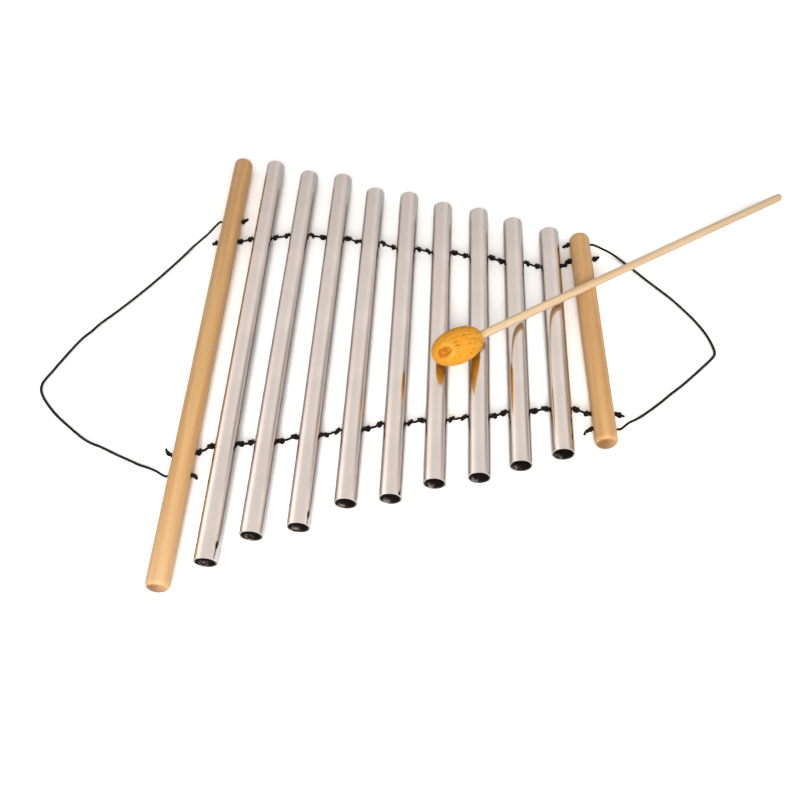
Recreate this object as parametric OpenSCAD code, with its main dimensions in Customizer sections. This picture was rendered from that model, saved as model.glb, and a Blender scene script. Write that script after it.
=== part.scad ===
// A set of nine open metal tubes strung on two knotted cords between two wooden end rods,
// with a hanging loop on each rod and a yarn-wound mallet lying on the tubes.
// The tubes run along Y. The long end is at -X, and everything rests on the plane z = 0.

/* [Tubes] */
// Outer diameter of every tube
tube_od = 18; // [16:0.5:22]
// Wall of every tube
tube_wall = 1.5; // [1:0.1:2.5]
// Bevel on the edges of the tube ends
tube_bevel = 0.25; // [0.1:0.05:0.5]
// Length of tube 1, the longest
tube_1_len = 429; // [400:1:470]
// Length of tube 2
tube_2_len = 392; // [360:1:430]
// Length of tube 3
tube_3_len = 379; // [350:1:410]
// Length of tube 4
tube_4_len = 338; // [310:1:370]
// Length of tube 5
tube_5_len = 327; // [300:1:360]
// Length of tube 6
tube_6_len = 299; // [270:1:330]
// Length of tube 7
tube_7_len = 285; // [260:1:310]
// Length of tube 8
tube_8_len = 261; // [240:1:290]
// Length of tube 9, the shortest
tube_9_len = 237; // [215:1:265]

/* [End rods] */
// Diameter of both wooden rods
rod_d = 18; // [16:0.5:22]
// Length of the long rod
long_rod_len = 458; // [440:1:500]
// Length of the short rod
short_rod_len = 224; // [218:1:260]
// Rounding of the rod ends
rod_round = 5; // [2:0.5:7]
// Distance between the two stringing holes of the long rod
long_string_span = 232; // [200:1:260]
// Distance of the far loop hole of the long rod from the rod's middle
long_loop_far = 144; // [130:1:210]
// Distance of the near loop hole of the long rod from the rod's middle
long_loop_near = 136; // [130:1:210]
// Distance between the two stringing holes of the short rod
short_string_span = 168; // [120:1:180]
// Distance of the far loop hole of the short rod from the rod's middle
short_loop_far = 102; // [94:0.5:103]
// Distance of the near loop hole of the short rod from the rod's middle
short_loop_near = 97.5; // [94:0.5:103]

/* [Cord] */
// Diameter of the cord
cord_d = 1.6; // [1.2:0.1:1.8]
// Diameter of the holes that the cord passes
cord_hole_d = 2.4; // [2.2:0.1:3]
// Clear gap between two neighbouring tubes
bar_gap = 15.2; // [14.8:0.2:22]
// Thickness of a knot
knot_d = 3.8; // [3.4:0.1:4.6]
// Length of a knot along the cord
knot_l = 4.2; // [3.6:0.1:4.6]
// Length of the tail that stands out of an end knot
tail_l = 4; // [2:0.5:6]

/* [Mallet] */
// Overall length of the mallet
mallet_len = 384; // [340:1:420]
// Diameter of the stick
stick_d = 7.2; // [5:0.1:9]
// Length of the wound head
head_l = 49; // [44:1:56]
// Thickness of the wound head
head_d = 30; // [27:0.5:34]
// Thickness of the yarn
yarn_d = 1.5; // [1:0.1:1.6]
// Depth of the stick in the core
stick_seat = 28; // [20:1:32]
// Direction in which the mallet lies, from +X towards +Y
mallet_yaw = 33; // [24:0.5:40]

/* [Hidden] */
$fn = 64;

// One overrun for every cut
overrun = 1;
// Clearance between a knot and the wall that it sits against
knot_seat = 0.3;
// Clearance between the two halves of a strand at its bending point
bend_clear = 0.05;
// How far outside the rod a hanging loop starts to swing
loop_standoff = 1.8;
// Clearance under the mallet where it rests on the tubes and on the short rod
rest_clear = 0.3;
// Clearance of the glued stick in the core's bore
glue_clear = 0.1;
// Clearance between the yarn and the core under it
yarn_clear = 0.35;
// Rounding of the stick's free end
stick_round = 1.5;
// Distance of the outermost turns of yarn from the mallet's axis at the tip
tip_turn_r = 3.4;
// Distance of the outermost turns of yarn from the stick's surface
neck_turn_gap = 1.2;

// The bars from left to right: the long rod, tubes 1 to 9, the short rod
tube_lens = [
    tube_1_len,
    tube_2_len,
    tube_3_len,
    tube_4_len,
    tube_5_len,
    tube_6_len,
    tube_7_len,
    tube_8_len,
    tube_9_len,
];
last_bar = len(tube_lens) + 1;
// Gaps between neighbouring bars as shares of bar_gap, as they lie
gap_shares = [0.98, 1.01, 1.09, 1.04, 1.03, 0.99, 1.06, 0.92, 0.98, 0.83];
// How far each bar has slid along itself, as shares of tube_od
slide_shares = [-0.58, -0.16, 0.03, 0.10, 0.11, 0.07, 0.05, -0.02, -0.07, -0.13, -0.03];
// How far each bar is turned as it lies, in degrees, with the far end towards +X
lie_angles = [-0.93, -0.72, 0, 0, 0, 0, 0, 0, 0, 0, -1.67];
// Distance of the stringing holes from the ends of each tube, as shares of its length
hole_inset_shares = [0.234, 0.207, 0.211, 0.193, 0.206, 0.193, 0.193, 0.189, 0.179];
// Place of the mallet's head along tube 6, as a share of the tube's length from its middle
head_along_share = -0.111;
// Turn of an end knot's tail out of the cord's line, and its rise, in degrees
tail_turn = 25;
tail_rise = 35;

tube_id = tube_od - 2 * tube_wall;
cord_r = cord_d / 2;
yarn_turns = 24;
rings_per_turn = 24;
yarn_sides = 6;
cord_sides = 8;
// A knot's outline: shares of its length, and the radius there as a share of its own
knot_shares = [[0, 0.7], [0.25, 1], [0.5, 0.82], [0.75, 1], [0.95, 0.7]];
// The round end of a cord at a bending point, as shares of the cord's radius: distance, radius
ball_shares = [[0, 1], [0.6, 0.8], [0.95, 0.31]];

function is_rod(i) = i == 0 || i == last_bar;
function bar_d(i) = is_rod(i) ? rod_d : tube_od;
function bar_r(i) = bar_d(i) / 2;
function sum_to(v, n) = n <= 0 ? 0 : v[n - 1] + sum_to(v, n - 1);
// Place of a bar's axis to the right of the long rod's
function bar_run(i) =
    bar_gap * sum_to(gap_shares, i)
    + (i == 0 ? 0 : bar_r(0) + bar_r(i))
    + max(0, i - 1) * tube_od;
function string_half(i) =
    i == 0 ? long_string_span / 2
    : i == last_bar ? short_string_span / 2
    : tube_lens[i - 1] * (0.5 - hole_inset_shares[i - 1]);
// Distance of a loop hole from the rod's middle: side 1 is the far hole, -1 the near one
function loop_place(i, side) =
    i == 0 ? (side > 0 ? long_loop_far : long_loop_near)
    : side > 0 ? short_loop_far
    : short_loop_near;

// Height of an oval's centre over the axes of two round tubes that carry it: half_w and
// half_h are the oval's half width and height, r the tubes' radius with its clearance, and
// half_gap half the distance of the tubes. The turn of the touching point is found by halving.
function touch_x(half_w, half_h, r, turn) =
    half_w * cos(turn) + r * half_h * cos(turn) / oval_pull(half_w, half_h, turn);
function oval_pull(half_w, half_h, turn) =
    sqrt(pow(half_h * cos(turn), 2) + pow(half_w * sin(turn), 2));
function touch_turn(half_w, half_h, r, half_gap, low = 0, high = 90, steps = 30) =
    let (mid = (low + high) / 2)
    steps == 0 ? mid
    : touch_x(half_w, half_h, r, mid) > half_gap
    ? touch_turn(half_w, half_h, r, half_gap, mid, high, steps - 1)
    : touch_turn(half_w, half_h, r, half_gap, low, mid, steps - 1);
function rest_height(half_w, half_h, r, half_gap) =
    let (turn = touch_turn(half_w, half_h, r, half_gap))
    half_h * sin(turn) + r * half_w * sin(turn) / oval_pull(half_w, half_h, turn);

// The mallet's head lies in the groove between tubes 6 and 7
left_rest = 6;
right_rest = 7;
rest_half = (bar_run(right_rest) - bar_run(left_rest)) / 2;
groove_run = (bar_run(left_rest) + bar_run(right_rest)) / 2;
head_slide = slide_shares[left_rest] * tube_od + head_along_share * tube_lens[left_rest - 1];
head_half_w = norm([head_l / 2 * cos(mallet_yaw), head_d / 2 * sin(mallet_yaw)]);
rest_r = tube_od / 2 + rest_clear;
rest_turn = touch_turn(head_half_w, head_d / 2, rest_r, rest_half);
head_z = tube_od / 2 + rest_height(head_half_w, head_d / 2, rest_r, rest_half);
// The stick comes down from the head to the top of the short rod
short_slope = tan(lie_angles[last_bar]);
function stick_run(run) =
    (bar_run(last_bar) - run + short_slope * (head_slide - slide_shares[last_bar] * tube_od))
    / (cos(mallet_yaw) - short_slope * sin(mallet_yaw));
function tilt_from(run) = atan((head_z - rod_d - stick_d / 2 - rest_clear) / stick_run(run));
// The head tips down towards the stick, so it comes to rest a little to the left of the
// groove's middle, where both tubes still carry it
tip_shift =
    (pow(head_l / 2, 2) - pow(head_d / 2, 2)) * cos(mallet_yaw)
    * sin(tilt_from(groove_run)) * sin(rest_turn) / (head_d / 2);
head_run = groove_run - tip_shift;
mallet_tilt = tilt_from(head_run);

// The middle of the box around everything but the hanging loops stands over the origin: on the
// left it ends at the tail of the long rod's far knot, on the right at the end of the stick
tail_reach =
    rod_d / 2 + knot_seat + knot_l + tail_l * cos(tail_turn) * cos(tail_rise)
    - string_half(0) * sin(lie_angles[0]);
mallet_reach =
    head_run + (mallet_len - head_l / 2) * cos(mallet_tilt) * cos(mallet_yaw)
    + stick_d / 2 * sin(mallet_yaw);
long_rod_x = (tail_reach - mallet_reach) / 2;
mid_y = -slide_shares[0] * tube_od;
head_at = [long_rod_x + head_run, mid_y + head_slide, head_z];

function bar_x(i) = long_rod_x + bar_run(i);
function bar_y(i) = mid_y + slide_shares[i] * tube_od;
function bar_at(i) = [bar_x(i), bar_y(i), bar_r(i)];
// The directions across and along a bar as it lies
function across(i) = [cos(lie_angles[i]), -sin(lie_angles[i]), 0];
function along(i) = [sin(lie_angles[i]), cos(lie_angles[i]), 0];
// Where a stringing cord crosses the axis of a bar: side 1 is the far cord, -1 the near one
function crossing(i, side) = bar_at(i) + side * string_half(i) * along(i);
function loop_crossing(i, side) = bar_at(i) + side * loop_place(i, side) * along(i);
// Where a stringing cord leaves a bar: way -1 is towards -X, 1 towards +X
function leaving(i, side, way) = crossing(i, side) + way * bar_r(i) * across(i);
// Where a cord bends between bar i and the next one, halfway along its free length
function bend_at(i, side) = (leaving(i, side, 1) + leaving(i + 1, side, -1)) / 2;
// Where a hanging loop swings: out is -1 on the long rod and 1 on the short one
function rod_out(i) = i == 0 ? -1 : 1;
function swing_at(i, side) =
    loop_crossing(i, side) + rod_out(i) * (bar_r(i) + loop_standoff) * across(i);

function unit(v) = v / norm(v);

// The yarn's line lies on an oval of its own: half length and half thickness
yarn_half_l = (head_l - yarn_d) / 2;
yarn_half_d = (head_d - yarn_d) / 2;
core_half_l = yarn_half_l - yarn_d / 2 - yarn_clear;
core_half_d = yarn_half_d - yarn_d / 2 - yarn_clear;
neck_turn_r = stick_d / 2 + yarn_d / 2 + neck_turn_gap;
// Cones that make up the core
core_steps = 24;
// The turns start at the tip, at -x, and end at the neck; turns are counted on the oval in degrees
tip_turn = asin(tip_turn_r / yarn_half_d);
neck_turn = 180 - asin(neck_turn_r / yarn_half_d);
function oval_point(turn) = [-yarn_half_l * cos(turn), yarn_half_d * sin(turn)];
// The oval's length up to each of a number of steps, to space the turns evenly
oval_steps = 96;
function oval_step(k) = tip_turn + (neck_turn - tip_turn) * k / oval_steps;
oval_runs = [
    for (
        k = 0, run = 0;
        k <= oval_steps;
        k = k + 1,
        run = run + norm(oval_point(oval_step(k)) - oval_point(oval_step(k - 1)))
    ) run
];
function turn_at(share) = lookup(
    share * oval_runs[oval_steps],
    [for (k = [0:oval_steps]) [oval_runs[k], oval_step(k)]]
);
yarn_rings = yarn_turns * rings_per_turn;
function yarn_point(k) =
    let (p = oval_point(turn_at(k / yarn_rings)), a = 360 * k / rings_per_turn)
    [p[0], p[1] * cos(a), p[1] * sin(a)];
yarn_turning = [for (k = [0:yarn_rings]) yarn_point(k)];
// Both ends of the yarn run straight for one thickness
yarn_line = concat(
    [yarn_turning[0] + yarn_d * unit(yarn_turning[0] - yarn_turning[1])],
    yarn_turning,
    [yarn_turning[yarn_rings] + yarn_d * unit(yarn_turning[yarn_rings] - yarn_turning[yarn_rings - 1])]
);
// The least gap between two turns, measured from each point to the next turn's points
yarn_gap = min([
    for (k = [0:yarn_rings - rings_per_turn / 2])
        for (m = [rings_per_turn / 2:rings_per_turn * 3 / 2])
            if (k + m <= yarn_rings) norm(yarn_turning[k + m] - yarn_turning[k])
]) - yarn_d;
echo(yarn_gap = yarn_gap);

// Routes of the two hanging loops, from the far hole round to the near one. Each point is
// measured from the ground under the rod's middle: along X, along Y, and how far it is lifted
// from lying flat
long_route = [
    [-18.5, 136, 7.4],
    [-24.5, 129.5, 5.7],
    [-32, 123.5, 2.7],
    [-38, 117, 1.2],
    [-43.5, 109, 0.3],
    [-49, 100.5, 0],
    [-59.5, 84, 0],
    [-71.5, 66.5, 0],
    [-83, 51, 0],
    [-94.5, 36.5, 0],
    [-106, 23, 0],
    [-111.5, 14.5, 0],
    [-117, 7.5, 0],
    [-122, -1.5, 0],
    [-126.5, -11, 0],
    [-131, -21, 0],
    [-134.5, -29.5, 0],
    [-138, -37, 0],
    [-140, -42.5, 0],
    [-140, -47, 0],
    [-139, -51, 0],
    [-136.5, -55.5, 0],
    [-132.5, -61, 0],
    [-128.5, -65.5, 0],
    [-118.5, -75.5, 0],
    [-105.5, -86, 0],
    [-97, -92.5, 0],
    [-88.5, -98.5, 0],
    [-81, -102.5, 0],
    [-73, -105.5, 0],
    [-58, -112.5, 0],
    [-43, -119, 0.1],
    [-35.5, -122.5, 0.6],
    [-29, -125, 1.7],
    [-20, -129.5, 4.5],
    [-14, -133.5, 7.2],
];
short_route = [
    [13.5, 100, 7.6],
    [19.5, 98, 5.7],
    [25, 96.5, 3.2],
    [30.5, 93.5, 1.2],
    [35.5, 89, 0.2],
    [40.5, 83.5, 0],
    [45.5, 77.5, 0],
    [54.5, 66.5, 0],
    [64, 55.5, 0],
    [73, 45, 0],
    [82, 32.5, 0],
    [86, 26.5, 0],
    [90, 20, 0],
    [93, 14.5, 0],
    [95.5, 9.5, 0],
    [98, 3.5, 0],
    [100, -3, 0],
    [101.5, -9.5, 0],
    [102, -14, 0],
    [101.5, -17, 0],
    [99.5, -20, 0],
    [93.5, -26.5, 0],
    [88, -32, 0],
    [82, -38, 0],
    [71, -48.5, 0],
    [60, -58, 0],
    [49.5, -67.5, 0],
    [38.5, -76.5, 0.1],
    [33.5, -80.5, 0.6],
    [28, -85, 2.7],
    [22.5, -89.5, 5.5],
    [18, -93, 7.4],
];

// A loop's whole line. It starts clear of the cord's end in the rod, straight out of the rod
function loop_start(i, side) =
    swing_at(i, side) + rod_out(i) * (cord_r + bend_clear) * across(i);
function loop_lead(i, side) = loop_start(i, side) + rod_out(i) * cord_d * across(i);
function loop_points(i, route) = concat(
    [loop_start(i, 1), loop_lead(i, 1)],
    [for (at = route) [bar_x(i), bar_y(i), cord_r] + at],
    [loop_lead(i, -1), loop_start(i, -1)]
);

// A closed tube through rings of the given centres and radii, with flat ends
function way_at(p, k) = unit(p[k + 1] - p[k]);
function tangent(p, k) =
    k == 0 ? way_at(p, 0)
    : k == len(p) - 1 ? way_at(p, k - 1)
    : unit(way_at(p, k - 1) + way_at(p, k));
function ring(at, t, r, sides, up) =
    let (side = unit(cross(t, up)), lift = cross(side, t))
    [for (m = [0:sides - 1]) at + r * (cos(360 * m / sides) * side + sin(360 * m / sides) * lift)];

module tube_along(p, radii, sides, winds = false) {
    n = len(p);
    rings = [
        for (k = [0:n - 1])
            let (up = winds ? unit([0, p[k][1], p[k][2]]) : [0, 0, 1])
            each ring(p[k], tangent(p, k), radii[k], sides, up)
    ];
    walls = [
        for (k = [0:n - 2])
            for (m = [0:sides - 1])
                let (a = k * sides + m, b = k * sides + (m + 1) % sides)
                each [[a, b, a + sides], [b, b + sides, a + sides]]
    ];
    start = [for (m = [1:sides - 2]) [0, m + 1, m]];
    last = (n - 1) * sides;
    finish = [for (m = [1:sides - 2]) [last, last + m, last + m + 1]];
    polyhedron(points = rings, faces = concat(walls, start, finish));
}

// Puts what stands on the bar's own axis where the bar lies
module at_bar(i) {
    translate(bar_at(i))
        rotate([0, 0, -lie_angles[i]])
            children();
}

module cross_hole(d, hole_d, y) {
    translate([0, y, 0])
        rotate([0, 90, 0])
            cylinder(d = hole_d, h = d + 2 * overrun, center = true);
}

// One open tube with its two cross-drilled holes
module chime(i) {
    l = tube_lens[i - 1];
    inner = tube_id / 2;
    outer = tube_od / 2;
    color([0.82, 0.80, 0.78])
        at_bar(i)
            difference() {
                rotate([-90, 0, 0])
                    rotate_extrude()
                        polygon([
                            [inner + tube_bevel, -l / 2],
                            [outer - tube_bevel, -l / 2],
                            [outer, tube_bevel - l / 2],
                            [outer, l / 2 - tube_bevel],
                            [outer - tube_bevel, l / 2],
                            [inner + tube_bevel, l / 2],
                            [inner, l / 2 - tube_bevel],
                            [inner, tube_bevel - l / 2],
                        ]);
                for (side = [-1, 1])
                    cross_hole(tube_od, cord_hole_d, side * string_half(i));
            }
}

// A round rod with rounded ends, and holes for the stringing cords and for the loop
module end_rod(i, l) {
    color([0.90, 0.72, 0.48])
        at_bar(i)
            difference() {
                rotate([-90, 0, 0])
                    rotate_extrude()
                        rod_outline(l);
                for (side = [-1, 1]) {
                    cross_hole(rod_d, cord_hole_d, side * string_half(i));
                    cross_hole(rod_d, cord_hole_d, side * loop_place(i, side));
                }
            }
}

module rod_outline(l) {
    translate([0, -l / 2])
        square([rod_d / 2 - rod_round, l]);
    translate([0, rod_round - l / 2])
        square([rod_d / 2, l - 2 * rod_round]);
    intersection() {
        for (side = [-1, 1])
            translate([rod_d / 2 - rod_round, side * (l / 2 - rod_round)])
                circle(r = rod_round);
        translate([0, -l / 2])
            square([rod_d / 2, l]);
    }
}

// The stages of a cord, each a centre and a radius, from the wall that it leaves outwards.
// A knot sits against the wall; one on a slanting cord sits further out, to clear the wall
function knot_stages(from, v) = concat(
    [for (share = knot_shares) [from + share[0] * knot_l * v, share[1] * knot_d / 2]],
    [[from + knot_l * v, cord_r]]
);
function knot_reach(v, out) =
    let (lean = v * out)
    (knot_seat + knot_shares[0][1] * knot_d / 2 * sqrt(max(0, 1 - lean * lean))) / lean;
function ball_stages(at, v) =
    [for (share = ball_shares) [at + share[0] * cord_r * v, share[1] * cord_r]];

// From a bar to the bending point beside it: way -1 is towards -X and ends flat, clear of the
// round end of the cord that comes the other way
function joined_stages(i, side, way) =
    let (
        from = leaving(i, side, way),
        bend = bend_at(way > 0 ? i : i - 1, side),
        v = unit(bend - from),
        knot_from = from + knot_reach(v, way * across(i)) * v
    )
    concat(
        [[from, cord_r]],
        knot_stages(knot_from, v),
        way > 0 ? ball_stages(bend, v) : [[bend - (cord_r + bend_clear) * v, cord_r]]
    );

// From a bar to the end of the cord: a knot with a short tail
function ended_stages(i, at, side, way) =
    let (
        out = way * across(i),
        from = at + bar_r(i) * out,
        angle = atan2(out[1], out[0]) + way * side * tail_turn,
        heading = [cos(tail_rise) * cos(angle), cos(tail_rise) * sin(angle), sin(tail_rise)],
        knot_end = from + (knot_seat + knot_l) * out
    )
    concat(
        [[from, cord_r]],
        knot_stages(from + knot_seat * out, out),
        [[knot_end + tail_l * heading, cord_r]]
    );

function backwards(list) = [for (k = [len(list) - 1:-1:0]) list[k]];

module cord_of(stages) {
    color([0.08, 0.07, 0.07])
        tube_along([for (s = stages) s[0]], [for (s = stages) s[1]], cord_sides);
}

// Both stringing cords where they pass one bar, out to the bending points on either side
module bar_cords(i) {
    for (side = [-1, 1]) {
        at = crossing(i, side);
        left = i == 0 ? ended_stages(i, at, side, -1) : joined_stages(i, side, -1);
        right = i == last_bar ? ended_stages(i, at, side, 1) : joined_stages(i, side, 1);
        cord_of(concat(backwards(left), right));
    }
}

// The ends of a hanging loop in the rod: the knots inside and the swinging points outside
module loop_ends(i) {
    for (side = [-1, 1]) {
        inside = ended_stages(i, loop_crossing(i, side), side, -rod_out(i));
        outside = ball_stages(swing_at(i, side), rod_out(i) * across(i));
        cord_of(concat(backwards(inside), outside));
    }
}

module hanging_loop(i, route) {
    cord_of([for (at = loop_points(i, route)) [at, cord_r]]);
}

// Puts what stands on the mallet's own axis, with the head at the origin and the stick
// along X, where the mallet lies
module at_mallet() {
    translate(head_at)
        rotate([0, mallet_tilt, mallet_yaw])
            children();
}

module mallet_stick() {
    seat_x = core_half_l - stick_seat;
    l = mallet_len - head_l / 2 - seat_x;
    color([0.95, 0.84, 0.68])
        at_mallet()
            translate([seat_x, 0, 0])
                rotate([0, 90, 0])
                    rotate_extrude() {
                        square([stick_d / 2, l - stick_round]);
                        square([stick_d / 2 - stick_round, l]);
                        translate([stick_d / 2 - stick_round, l - stick_round])
                            circle(r = stick_round);
                    }
}

module mallet_core() {
    color([0.86, 0.60, 0.24])
        at_mallet()
            difference() {
                rotate([0, 90, 0])
                    rotate_extrude()
                        polygon([
                            for (k = [0:core_steps])
                                let (turn = 180 * k / core_steps)
                                [core_half_d * sin(turn), core_half_l * cos(turn)]
                        ]);
                translate([core_half_l - stick_seat - glue_clear, 0, 0])
                    rotate([0, 90, 0])
                        cylinder(d = stick_d + 2 * glue_clear, h = stick_seat + overrun);
            }
}

module mallet_winding() {
    color([0.95, 0.65, 0.18])
        at_mallet()
            tube_along(yarn_line, [for (at = yarn_line) yarn_d / 2], yarn_sides, true);
}

end_rod(0, long_rod_len);  // long_rod
end_rod(last_bar, short_rod_len);  // short_rod
for (i = [1:last_bar - 1])
    chime(i);
bar_cords(0);  // cord_long_rod
for (i = [1:last_bar - 1])
    bar_cords(i);
bar_cords(last_bar);  // cord_short_rod
loop_ends(0);  // long_loop_ends
loop_ends(last_bar);  // short_loop_ends
hanging_loop(0, long_route);  // long_hanging_loop
hanging_loop(last_bar, short_route);  // short_hanging_loop
mallet_stick();
mallet_core();
mallet_winding();
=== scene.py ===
import math

import bpy
import numpy as np
from mathutils import Matrix, Vector


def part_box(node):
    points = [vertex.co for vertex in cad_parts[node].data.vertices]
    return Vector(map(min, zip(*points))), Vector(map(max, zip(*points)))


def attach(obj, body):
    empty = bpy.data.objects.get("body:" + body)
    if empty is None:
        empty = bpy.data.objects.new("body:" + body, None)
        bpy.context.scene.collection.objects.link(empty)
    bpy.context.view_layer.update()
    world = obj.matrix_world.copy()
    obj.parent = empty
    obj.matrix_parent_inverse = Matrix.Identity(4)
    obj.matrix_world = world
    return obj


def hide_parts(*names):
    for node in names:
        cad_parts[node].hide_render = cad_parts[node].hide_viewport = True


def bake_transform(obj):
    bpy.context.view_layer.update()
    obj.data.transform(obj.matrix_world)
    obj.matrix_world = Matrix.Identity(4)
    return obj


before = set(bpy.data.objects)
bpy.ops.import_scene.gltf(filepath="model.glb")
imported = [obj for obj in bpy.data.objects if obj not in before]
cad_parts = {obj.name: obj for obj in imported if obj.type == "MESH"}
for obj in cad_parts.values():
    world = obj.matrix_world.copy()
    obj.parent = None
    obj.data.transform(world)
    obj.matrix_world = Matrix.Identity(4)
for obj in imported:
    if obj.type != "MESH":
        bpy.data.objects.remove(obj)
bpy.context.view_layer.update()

bl_info = {
    "name": "Bar Chimes",
    "version": (1, 0, 0),
    "blender": (4, 5, 0),
    "location": "View3D > Sidebar > Chimes",
    "description": "Dresses the strung tubes, their wooden rods, the cords and the yarn mallet",
    "category": "Object",
}

MM = 0.001

# The bars from left to right, as they are strung
BARS = ["long_rod"] + [f"tube_{k}" for k in range(1, 10)] + ["short_rod"]
# How far each bar is turned as it lies, in degrees, with the far end towards +X
LIE_ANGLES = {"long_rod": -0.93, "tube_1": -0.72, "short_rod": -1.67}
# Distance of the stringing cords from the middle of each bar, in mm
STRING_HALVES = [
    116, 114.114, 114.856, 109.531, 103.766, 96.138, 91.793, 87.495, 81.171, 76.077, 84,
]
BAR_RADIUS = 9 * MM
ROD_HALVES = {"long_rod": 229 * MM, "short_rod": 112 * MM}
# The loop holes of each rod: distance of the far and the near one from its middle, in mm
LOOP_PLACES = {"long_rod": (144, 136), "short_rod": (102, 97.5)}
# A hanging loop starts to swing this far outside its rod
LOOP_STANDOFF = 1.8 * MM
# How far a hanging loop and the cord in its rod reach past each other there
LOOP_LAP = 0.9 * MM

# The hanging loops as they lie, in mm: x and y from the middle of the rod, and the height
# of the cord over the ground
LONG_ROUTE = [
    (-24.5, 129.5, 5.7), (-32, 123.5, 2.7), (-38, 117, 1.2), (-43.5, 109, 0.3),
    (-49, 100.5, 0), (-59.5, 84, 0), (-71.5, 66.5, 0), (-83, 51, 0), (-94.5, 36.5, 0),
    (-106, 23, 0), (-111.5, 14.5, 0), (-117, 7.5, 0), (-122, -1.5, 0), (-126.5, -11, 0),
    (-131, -21, 0), (-134.5, -29.5, 0), (-138, -37, 0), (-140, -42.5, 0), (-140, -47, 0),
    (-139, -51, 0), (-136.5, -55.5, 0), (-132.5, -61, 0), (-128.5, -65.5, 0),
    (-118.5, -75.5, 0), (-105.5, -86, 0), (-97, -92.5, 0), (-88.5, -98.5, 0),
    (-81, -102.5, 0), (-73, -105.5, 0), (-58, -112.5, 0), (-43, -119, 0.1),
    (-35.5, -122.5, 0.6), (-29, -125, 1.7), (-20, -129.5, 4.5),
]
SHORT_ROUTE = [
    (19.5, 98, 5.7), (25, 96.5, 3.2), (30.5, 93.5, 1.2), (35.5, 89, 0.2), (40.5, 83.5, 0),
    (45.5, 77.5, 0), (54.5, 66.5, 0), (64, 55.5, 0), (73, 45, 0), (82, 32.5, 0),
    (86, 26.5, 0), (90, 20, 0), (93, 14.5, 0), (95.5, 9.5, 0), (98, 3.5, 0), (100, -3, 0),
    (101.5, -9.5, 0), (102, -14, 0), (101.5, -17, 0), (99.5, -20, 0), (93.5, -26.5, 0),
    (88, -32, 0), (82, -38, 0), (71, -48.5, 0), (60, -58, 0), (49.5, -67.5, 0),
    (38.5, -76.5, 0.1), (33.5, -80.5, 0.6), (28, -85, 2.7), (22.5, -89.5, 5.5),
]
# Each rod's loop: its body, its route, its free length in metres and the seed of its knots
LOOPS = {
    "long_rod": ("long_loop", LONG_ROUTE, 0.398, 41),
    "short_rod": ("short_loop", SHORT_ROUTE, 0.282, 17),
}

# The cord's section is lobed, so it is drawn this much fuller than its thickness
CORD_FULLNESS = 1.26
# Points of a smooth line in each span that it passes, before they are spaced evenly, and the
# distance between them after that
SPAN_POINTS = 12
CORD_STEP = 0.42 * MM
# Plies of a strand. A twist is the depth of the plies as a share of the radius, their turns per
# metre and the sides of the section
PLIES = 3.0
CORD_TWIST = (0.09, 330.0, 12)
OUTER_TWIST = (0.11, 210.0, 9)
UNDER_TWIST = (0.14, 210.0, 7)
STITCH_TWIST = (0.14, 260.0, 9)
# Where a cord is straight in its hole, from the bar's axis, as a share of the radius
HOLE_LEAD = 0.93
# The seed of the chance that rolls and flips the strings' knots and strays their free stretches
STRING_SEED = 7
# Direction and length, in mm, of the tails at the rods: the far one and the near one
END_TAILS = {
    "long_rod": (((-0.8, -0.7, -0.1), 2.0), ((-0.35, 1, 0.1), 5.0)),
    "short_rod": (((0.7, 0.9, 0.1), 3.4), ((1, -0.45, -0.1), 4.0)),
}
LOOP_TAILS = {
    "long_rod": (((0.6, 1, 0.3), 3.6), ((0.3, -0.4, -0.5), 1.2)),
    "short_rod": (((-0.8, -0.8, -0.1), 3.2), ((-0.55, -1, -0.1), 5.4)),
}
# The line of a tight overhand knot, in thicknesses of its cord, running along X
KNOT_LINE = [
    (-1.50, 0, 0.04), (-1.07, 0, 0.04), (-0.66, -0.03, 0.10), (-0.32, -0.14, 0.33),
    (-0.04, -0.43, 0.46), (0.25, -0.71, 0.37), (0.53, -0.90, 0.12), (0.77, -0.90, -0.23),
    (0.94, -0.72, -0.57), (0.99, -0.39, -0.83), (0.93, 0.01, -0.93), (0.75, 0.39, -0.87),
    (0.51, 0.65, -0.66), (0.24, 0.75, -0.35), (-0.01, 0.75, -0.01), (-0.27, 0.76, 0.32),
    (-0.53, 0.67, 0.64), (-0.78, 0.41, 0.86), (-0.96, 0.04, 0.93), (-1.02, -0.37, 0.85),
    (-0.97, -0.70, 0.59), (-0.80, -0.89, 0.26), (-0.57, -0.90, -0.09), (-0.29, -0.72, -0.35),
    (0.01, -0.44, -0.45), (0.29, -0.15, -0.32), (0.62, -0.03, -0.10), (1.04, 0, -0.03),
    (1.46, 0, -0.03),
]
# How far a knot reaches to each side along its cord, in the same measure
KNOT_REACH = 1.02
# How far a knot may be rolled about its cord, in radians, in a gap and at a tail
GAP_ROLL = (-2.2, 0.2)
TAIL_ROLL = (-2.0, 0.0)
# Where a string strays from its straight way between two knots
STRAY_SHARES = (0.3, 0.7)

# The mallet lies with its head over tubes 6 and 7 and its stick on the short rod
HEAD_AT = Vector((-33.607, -21.849, 29.503)) * MM
MALLET_YAW = 33.0
MALLET_TILT = 3.249
# From the middle of the head to the far end of the stick
STICK_REACH = 359.5 * MM
# Directions from the head's middle, on the mallet's own axes: the pole of the winding at the
# tip, and the two places where the yarn is sewn
TIP_POLE = (-1, 0, 0)
TIP_CROWN = (-0.738, -0.378, 0.56)
NECK_CROWN = (0.68, -0.674, 0.288)
STITCH_SEED = 23
# The winding: points of its line to a loop, half turns round the head from one loop to the
# next, the least angle at which a loop passes the poles and how much more it gets, in degrees,
# and how often that comes and goes in a loop
LOOP_POINTS = 170
LOOP_TURN = 0.3819
OPEN_ANGLE = 19
OPEN_MORE = 15
OPEN_RATE = 0.2713
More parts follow.
